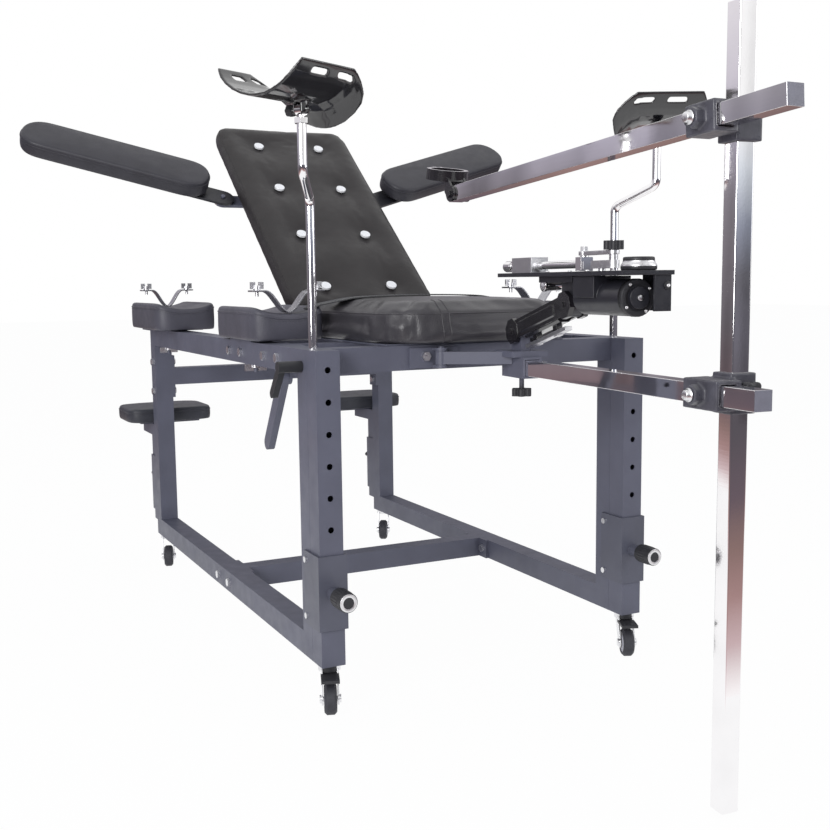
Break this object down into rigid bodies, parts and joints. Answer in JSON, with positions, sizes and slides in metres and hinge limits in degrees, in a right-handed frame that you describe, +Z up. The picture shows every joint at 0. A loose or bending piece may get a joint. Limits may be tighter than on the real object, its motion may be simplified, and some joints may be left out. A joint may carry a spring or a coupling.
{
  "type": "adjustable reclining exam chair",
  "caption": "Castered steel reclining chair with tufted backrest, arm boards, leg cups on bent poles, limb and kneel pads, and a swing-out mast with boom and reciprocating drive.",
  "frame": {"origin": "centre of the frame's footprint on the floor", "axes": "+X to the right seen from the front, +Y toward the backrest, +Z up"},
  "size_m": [1.1958, 1.9235, 1.0452],
  "materials": {
    "frame_paint": "satin charcoal powder coat",
    "pad_leather": "black synthetic leather",
    "chrome_plate": "bright plated",
    "black_gloss": "glossy black",
    "black_matte": "moulded black",
    "black_metal": "black anodised or painted",
    "bright_metal": "machined",
    "button_white": "white",
    "tyre": "dark tread with pale hub",
    "strap_web": "black webbing"
  },
  "bodies": {
    "frame": {"left_side_frame": "frame_paint", "right_side_frame": "frame_paint", "cross_bars": "frame_paint", "seat_bars": "frame_paint", "recline_axle": "chrome_plate", "leg_sleeves": "frame_paint", "fasteners": "chrome_plate", "seat_pan": "frame_paint", "seat_pad": "pad_leather", "seat_strap": "strap_web", "limb_pads": "pad_leather", "limb_pad_plates": "frame_paint", "cradle_bands": "chrome_plate", "kneel_sleeves": "frame_paint", "arm_hinge_bracket": "frame_paint"},
    "backrest": {"backrest_frame": "frame_paint", "backrest_pad": "pad_leather", "backrest_buttons": "button_white"},
    "left_arm": {"left_arm_bracket": "frame_paint", "left_arm_pad": "pad_leather"},
    "left_pole": {"left_leg_pole": "chrome_plate"},
    "left_cup": {"left_leg_cup": "black_gloss"},
    "left_lever": {"left_clamp_lever": "black_matte"},
    "left_leg": {"left_leg_tube": "frame_paint"},
    "left_pin": {"left_pull_pin": "black_matte"},
    "right_arm": {"right_arm_bracket": "frame_paint", "right_arm_pad": "pad_leather"},
    "right_pole": {"right_leg_pole": "chrome_plate"},
    "right_cup": {"right_leg_cup": "black_gloss"},
    "right_lever": {"right_clamp_lever": "black_matte"},
    "right_leg": {"right_leg_tube": "frame_paint"},
    "right_pin": {"right_pull_pin": "black_matte"},
    "front_left_caster": {"front_left_fork": "chrome_plate"},
    "front_left_roller": {"front_left_wheel": "tyre"},
    "front_right_caster": {"front_right_fork": "chrome_plate"},
    "front_right_roller": {"front_right_wheel": "tyre"},
    "rear_left_caster": {"rear_left_fork": "chrome_plate"},
    "rear_left_roller": {"rear_left_wheel": "tyre"},
    "rear_right_caster": {"rear_right_fork": "chrome_plate"},
    "rear_right_roller": {"rear_right_wheel": "tyre"},
    "lever_bar": {"recline_lever": "frame_paint"},
    "left_kneel": {"left_kneel_post": "frame_paint", "left_kneel_pad": "pad_leather"},
    "right_kneel": {"right_kneel_post": "frame_paint", "right_kneel_pad": "pad_leather"},
    "arm": {"swing_arm": "frame_paint"},
    "bar": {"slide_bar": "chrome_plate"},
    "low_clamp": {"lower_clamp": "black_metal"},
    "mast_body": {"mast": "chrome_plate"},
    "high_clamp": {"upper_clamp": "black_metal"},
    "boom_body": {"boom": "chrome_plate"},
    "ring": {"ring_clamp": "black_metal"},
    "lift": {"drive_arm": "black_metal"},
    "drive": {"drive_plate": "black_metal", "drive_motor": "black_metal", "bearing_block": "bright_metal", "controller": "black_matte"},
    "crank_body": {"crank": "bright_metal"},
    "link_body": {"link": "bright_metal"},
    "rod_body": {"slide_rod": "chrome_plate"}
  },
  "joints": [
    {"name": "backrest_recline", "type": "hinge", "parent": "frame", "child": "backrest", "pos_m": [0, -0.0775, 0.55], "axis": [1, 0, 0], "range_deg": [-18, 30]},
    {"name": "left_arm_swing", "type": "hinge", "parent": "backrest", "child": "left_arm", "pos_m": [-0.185, 0.32273, 0.8741], "axis": [0, -0.6293, 0.7771], "range_deg": [-20, 40]},
    {"name": "left_pole_swivel", "type": "hinge", "parent": "frame", "child": "left_pole", "pos_m": [-0.29, -0.4821, 0.575], "axis": [0, 0, 1], "range_deg": [-60, 60]},
    {"name": "left_cup_tilt", "type": "hinge", "parent": "left_pole", "child": "left_cup", "pos_m": [-0.32681, -0.55133, 0.93046], "axis": [-0.4384, 0.8988, 0], "range_deg": [-25, 25]},
    {"name": "left_lever_turn", "type": "hinge", "parent": "frame", "child": "left_lever", "pos_m": [-0.29, -0.4821, 0.548], "axis": [1, 0, 0], "range_deg": [-60, 60]},
    {"name": "left_leg_slide", "type": "slide", "parent": "frame", "child": "left_leg", "axis": [0, 0, -1], "range_m": [0, 0.2]},
    {"name": "left_pin_pull", "type": "slide", "parent": "frame", "child": "left_pin", "axis": [0, -1, 0], "range_m": [0, 0.012], "stiffness_N_per_m": 600, "springref_m": -0.003},
    {"name": "right_arm_swing", "type": "hinge", "parent": "backrest", "child": "right_arm", "pos_m": [0.185, 0.32273, 0.8741], "axis": [0, -0.6293, 0.7771], "range_deg": [-40, 20]},
    {"name": "right_pole_swivel", "type": "hinge", "parent": "frame", "child": "right_pole", "pos_m": [0.29, -0.4821, 0.575], "axis": [0, 0, 1], "range_deg": [-60, 60]},
    {"name": "right_cup_tilt", "type": "hinge", "parent": "right_pole", "child": "right_cup", "pos_m": [0.32681, -0.55133, 0.93046], "axis": [0.4384, 0.8988, 0], "range_deg": [-25, 25]},
    {"name": "right_lever_turn", "type": "hinge", "parent": "frame", "child": "right_lever", "pos_m": [0.29, -0.4821, 0.548], "axis": [1, 0, 0], "range_deg": [-60, 60]},
    {"name": "right_leg_slide", "type": "slide", "parent": "frame", "child": "right_leg", "axis": [0, 0, -1], "range_m": [0, 0.2]},
    {"name": "right_pin_pull", "type": "slide", "parent": "frame", "child": "right_pin", "axis": [0, -1, 0], "range_m": [0, 0.012], "stiffness_N_per_m": 600, "springref_m": -0.003},
    {"name": "front_left_swivel", "type": "hinge", "parent": "left_leg", "child": "front_left_caster", "pos_m": [-0.29, -0.5225, 0.078], "axis": [0, 0, 1], "continuous": true},
    {"name": "front_left_roll", "type": "hinge", "parent": "front_left_caster", "child": "front_left_roller", "pos_m": [-0.29821, -0.54505, 0.025], "axis": [0.9397, -0.342, 0], "continuous": true},
    {"name": "front_right_swivel", "type": "hinge", "parent": "right_leg", "child": "front_right_caster", "pos_m": [0.29, -0.5225, 0.078], "axis": [0, 0, 1], "continuous": true},
    {"name": "front_right_roll", "type": "hinge", "parent": "front_right_caster", "child": "front_right_roller", "pos_m": [0.28024, -0.54443, 0.025], "axis": [0.9135, -0.4067, 0], "continuous": true},
    {"name": "rear_left_swivel", "type": "hinge", "parent": "frame", "child": "rear_left_caster", "pos_m": [-0.29, 0.5225, 0.078], "axis": [0, 0, 1], "continuous": true},
    {"name": "rear_left_roll", "type": "hinge", "parent": "rear_left_caster", "child": "rear_left_roller", "pos_m": [-0.29662, 0.49943, 0.025], "axis": [0.9613, -0.2756, 0], "continuous": true},
    {"name": "rear_right_swivel", "type": "hinge", "parent": "frame", "child": "rear_right_caster", "pos_m": [0.29, 0.5225, 0.078], "axis": [0, 0, 1], "continuous": true},
    {"name": "rear_right_roll", "type": "hinge", "parent": "rear_right_caster", "child": "rear_right_roller", "pos_m": [0.278, 0.50172, 0.025], "axis": [0.866, -0.5, 0], "continuous": true},
    {"name": "recline_lever_pull", "type": "hinge", "parent": "frame", "child": "lever_bar", "pos_m": [-0.29, -0.3425, 0.52], "axis": [1, 0, 0], "range_deg": [-20, 15]},
    {"name": "left_kneel_slide", "type": "slide", "parent": "frame", "child": "left_kneel", "axis": [0, 0, 1], "range_m": [-0.04, 0.12]},
    {"name": "right_kneel_slide", "type": "slide", "parent": "frame", "child": "right_kneel", "axis": [0, 0, 1], "range_m": [-0.04, 0.12]},
    {"name": "arm_swing", "type": "hinge", "parent": "frame", "child": "arm", "pos_m": [-0.081, -0.5191, 0.5545], "axis": [0, 0, 1], "range_deg": [-75, 10]},
    {"name": "bar_slide", "type": "slide", "parent": "arm", "child": "bar", "axis": [0.0785, 0.9969, 0], "range_m": [-0.02, 0.03]},
    {"name": "lower_clamp_slide", "type": "slide", "parent": "bar", "child": "low_clamp", "axis": [0.0785, 0.9969, 0], "range_m": [-0.03, 0.06]},
    {"name": "mast_slide", "type": "slide", "parent": "low_clamp", "child": "mast_body", "axis": [0, 0, 1], "range_m": [0, 0.3]},
    {"name": "upper_clamp_slide", "type": "slide", "parent": "mast_body", "child": "high_clamp", "axis": [0, 0, 1], "range_m": [-0.08, 0.09]},
    {"name": "boom_slide", "type": "slide", "parent": "high_clamp", "child": "boom_body", "axis": [0, 0.9979, -0.0645], "range_m": [-0.3, 0.08]},
    {"name": "ring_tilt", "type": "hinge", "parent": "boom_body", "child": "ring", "pos_m": [-0.02186, -0.47279, 0.82238], "axis": [1, 0, 0], "range_deg": [-50, 50]},
    {"name": "drive_lift", "type": "hinge", "parent": "arm", "child": "lift", "pos_m": [0.02823, -0.58751, 0.597], "axis": [-0.9969, 0.0785, 0], "range_deg": [-7, 28]},
    {"name": "drive_level", "type": "hinge", "parent": "lift", "child": "drive", "pos_m": [0.0152, -0.75314, 0.64152], "axis": [-0.9969, 0.0785, 0], "range_deg": [-28, 7]},
    {"name": "crank_turn", "type": "hinge", "parent": "drive", "child": "crank_body", "pos_m": [0.00901, -0.83175, 0.68352], "axis": [0, 0, 1], "continuous": true},
    {"name": "link_turn", "type": "hinge", "parent": "crank_body", "child": "link_body", "pos_m": [0.00666, -0.86166, 0.71352], "axis": [0, 0, 1], "continuous": true},
    {"name": "rod_slide", "type": "slide", "parent": "drive", "child": "rod_body", "axis": [0.0785, 0.9969, 0], "range_m": [0, 0.06]}
  ],
  "couplings": [
    {"joint": "drive_level", "follows": "drive_lift", "ratio": -1},
    {"joint": "link_turn", "follows": "crank_turn", "ratio": -1}
  ]
}
